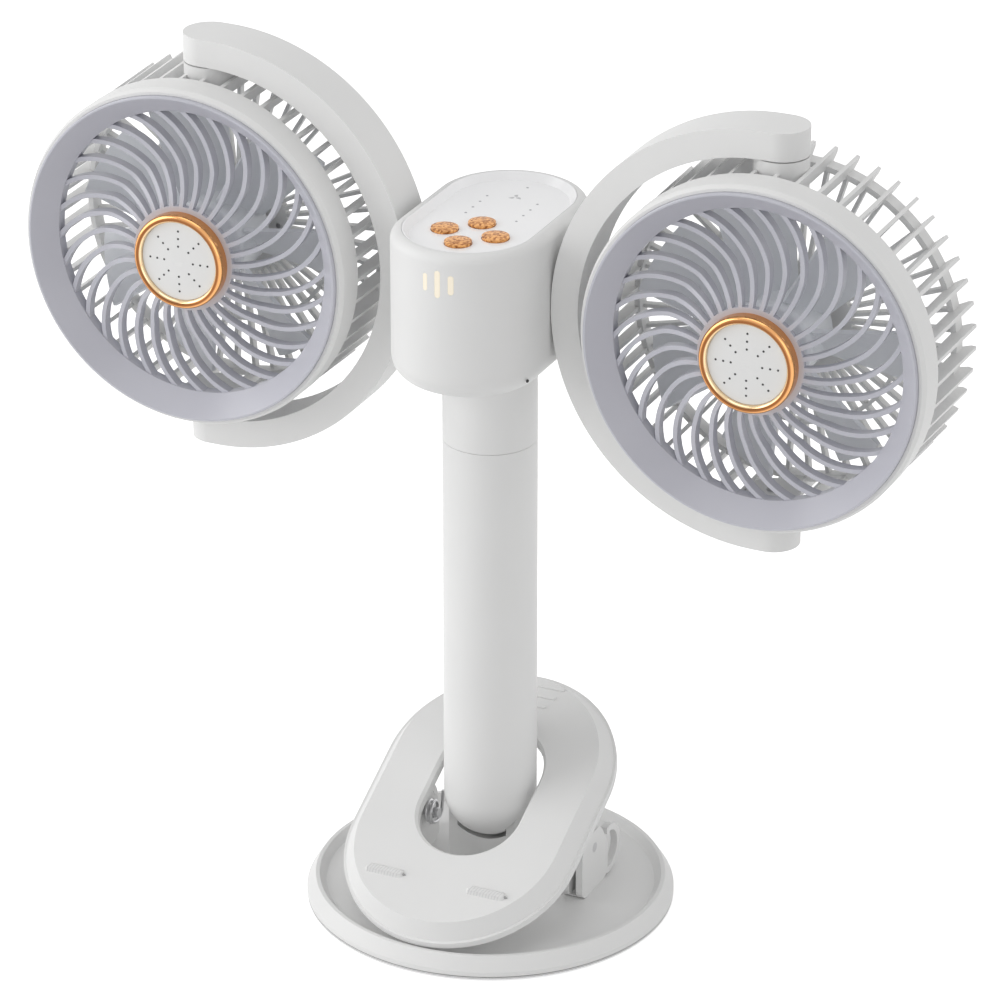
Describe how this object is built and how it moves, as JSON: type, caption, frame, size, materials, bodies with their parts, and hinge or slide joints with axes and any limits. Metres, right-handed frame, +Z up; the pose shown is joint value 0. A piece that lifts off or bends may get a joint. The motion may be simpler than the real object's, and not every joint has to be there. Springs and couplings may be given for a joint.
{
  "type": "dual-head desk fan",
  "caption": "Desk fan with two round caged heads held in C-shaped yokes on a control box, above a column with a round base and a sprung clip plate.",
  "frame": {"origin": "centre of the base's underside, where the fan stands on the desk", "axes": "+Z up along the column, the fans blow towards -Y, +X to the right seen from the front"},
  "size_m": [0.4078, 0.16, 0.3777],
  "materials": {
    "white_shell": "satin moulded plastic",
    "panel_white": "smooth moulded plastic",
    "grille_grey": "painted pearl grey",
    "copper": "satin rose copper",
    "dark_plastic": "fine moulded texture",
    "steel": "plain bright steel",
    "rubber": "matt rubber",
    "circuit": "lacquered board",
    "cell_wrap": "wrapped cells",
    "indicator": "pale yellow clear plastic",
    "blade_white": "smooth moulded plastic"
  },
  "bodies": {
    "base": {"base_tray": "white_shell", "base_cover": "dark_plastic", "foot_ring": "rubber", "ballast_plate": "steel", "base_screws": "steel", "fork_post": "white_shell", "tilt_pin": "steel", "hinge_bracket_left": "white_shell", "hinge_bracket_right": "white_shell", "clip_hinge_pins": "steel", "clip_springs": "steel"},
    "clip": {"clip_plate": "white_shell", "jaw_pad": "rubber"},
    "column": {"column_tube": "white_shell", "swivel_bush": "dark_plastic"},
    "box": {"swivel_neck": "white_shell", "box_shell": "white_shell", "control_panel": "panel_white", "circuit_board": "circuit", "led_bars": "indicator", "charge_socket": "steel", "battery_cradle": "dark_plastic", "battery_cells": "cell_wrap"},
    "button_left": {"button_left": "copper"},
    "button_right": {"button_right": "copper"},
    "button_back": {"button_back": "copper"},
    "button_front": {"button_front": "copper"},
    "yoke_left": {"yoke_left": "white_shell", "pitch_axle_left": "dark_plastic", "pivot_pins_left": "steel"},
    "head_left": {"fan_housing_left": "white_shell", "front_grille_left": "grille_grey", "accent_ring_left": "copper", "hub_cap_left": "white_shell", "motor_left": "steel", "rear_screws_left": "steel"},
    "impeller_left": {"impeller_left": "blade_white", "motor_shaft_left": "steel"},
    "yoke_right": {"yoke_right": "white_shell", "pitch_axle_right": "dark_plastic", "pivot_pins_right": "steel"},
    "head_right": {"fan_housing_right": "white_shell", "front_grille_right": "grille_grey", "accent_ring_right": "copper", "hub_cap_right": "white_shell", "motor_right": "steel", "rear_screws_right": "steel"},
    "impeller_right": {"impeller_right": "blade_white", "motor_shaft_right": "steel"}
  },
  "joints": [
    {"name": "clip_hinge", "type": "hinge", "parent": "base", "child": "clip", "pos_m": [0, 0.009, 0.027], "axis": [-1, 0, 0], "range_deg": [0, 25], "stiffness_Nm_per_rad": 0.8, "springref_deg": -17.19},
    {"name": "column_tilt", "type": "hinge", "parent": "base", "child": "column", "pos_m": [0, 0, 0.038], "axis": [1, 0, 0], "range_deg": [0, 15]},
    {"name": "neck_swivel", "type": "hinge", "parent": "column", "child": "box", "pos_m": [0, 0, 0.2174], "axis": [0, 0, 1], "range_deg": [-90, 90]},
    {"name": "press_left", "type": "slide", "parent": "box", "child": "button_left", "axis": [0, 0, -1], "range_m": [0, 0.0008], "stiffness_N_per_m": 400, "springref_m": -0.0006},
    {"name": "press_right", "type": "slide", "parent": "box", "child": "button_right", "axis": [0, 0, -1], "range_m": [0, 0.0008], "stiffness_N_per_m": 400, "springref_m": -0.0006},
    {"name": "press_back", "type": "slide", "parent": "box", "child": "button_back", "axis": [0, 0, -1], "range_m": [0, 0.0008], "stiffness_N_per_m": 400, "springref_m": -0.0006},
    {"name": "press_front", "type": "slide", "parent": "box", "child": "button_front", "axis": [0, 0, -1], "range_m": [0, 0.0008], "stiffness_N_per_m": 400, "springref_m": -0.0006},
    {"name": "yoke_pitch_left", "type": "hinge", "parent": "box", "child": "yoke_left", "pos_m": [-0.0329, 0, 0.286], "axis": [1, 0, 0], "range_deg": [-90, 90]},
    {"name": "head_swing_left", "type": "hinge", "parent": "yoke_left", "child": "head_left", "pos_m": [-0.1286, 0, 0.286], "axis": [0, 0, 1], "range_deg": [-90, 90]},
    {"name": "impeller_spin_left", "type": "hinge", "parent": "head_left", "child": "impeller_left", "pos_m": [-0.1286, 0, 0.286], "axis": [0, -1, 0], "continuous": true},
    {"name": "yoke_pitch_right", "type": "hinge", "parent": "box", "child": "yoke_right", "pos_m": [0.0329, 0, 0.286], "axis": [1, 0, 0], "range_deg": [-90, 90]},
    {"name": "head_swing_right", "type": "hinge", "parent": "yoke_right", "child": "head_right", "pos_m": [0.1286, 0, 0.286], "axis": [0, 0, 1], "range_deg": [-90, 90]},
    {"name": "impeller_spin_right", "type": "hinge", "parent": "head_right", "child": "impeller_right", "pos_m": [0.1286, 0, 0.286], "axis": [0, -1, 0], "continuous": true}
  ]
}
